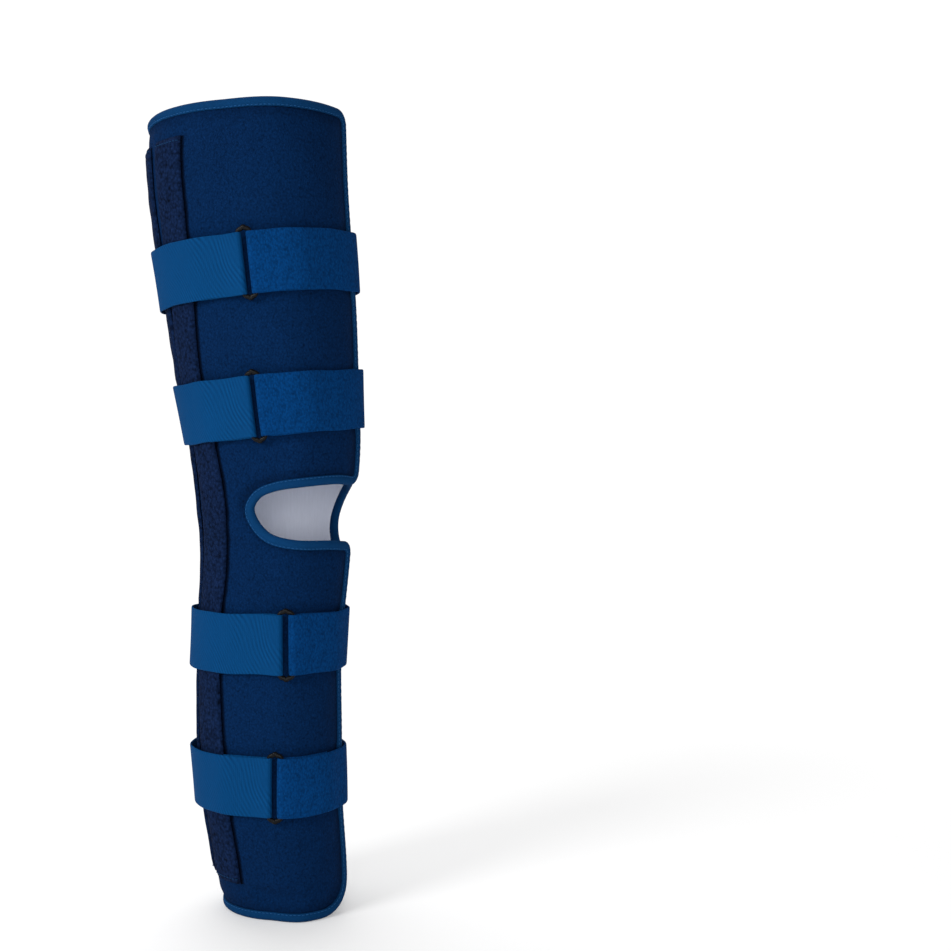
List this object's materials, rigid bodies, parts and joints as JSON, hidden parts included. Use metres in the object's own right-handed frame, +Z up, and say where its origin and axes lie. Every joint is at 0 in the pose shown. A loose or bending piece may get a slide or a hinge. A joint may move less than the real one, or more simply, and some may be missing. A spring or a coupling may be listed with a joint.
{
  "type": "knee immobilizer",
  "caption": "Tall wrap-around foam leg brace that tapers to the ankle, with a window at the knee, stay sleeves and straps turned back through wire rings.",
  "frame": {"origin": "middle of the part's box at the base, where the base rim stands on a surface", "axes": "+Z up the leg, from the ankle end to the thigh end; -Y to the front of the leg; -X to the outer side of a right leg"},
  "size_m": [0.1756, 0.1848, 0.68],
  "materials": {
    "velour": "napped navy loop velour face over foam",
    "lining": "light grey brushed knit lining",
    "binding": "folded blue edge binding tape, stitched",
    "sleeve": "coarse dark navy stay sleeve cloth",
    "webbing": "smooth blue woven strap face",
    "loop_tape": "fuzzy blue loop tape",
    "hook_tape": "blue hook tape",
    "ring_wire": "glossy black coated wire"
  },
  "bodies": {
    "root": {"foam_panel": "velour", "lining": "lining", "binding_top": "binding", "binding_base": "binding", "binding_outer_edge": "binding", "binding_inner_edge": "binding", "hook_strip_upper": "hook_tape", "hook_strip_lower": "hook_tape", "stay_sleeve_outer_side": "sleeve", "stay_sleeve_outer_back": "sleeve", "stay_sleeve_inner_side": "sleeve", "stay_sleeve_inner_back": "sleeve", "strap_band_1": "webbing", "loop_tape_1": "loop_tape", "ring_1": "ring_wire", "strap_band_2": "webbing", "loop_tape_2": "loop_tape", "ring_2": "ring_wire", "strap_band_3": "webbing", "loop_tape_3": "loop_tape", "ring_3": "ring_wire", "strap_band_4": "webbing", "loop_tape_4": "loop_tape", "ring_4": "ring_wire"}
  },
  "joints": []
}
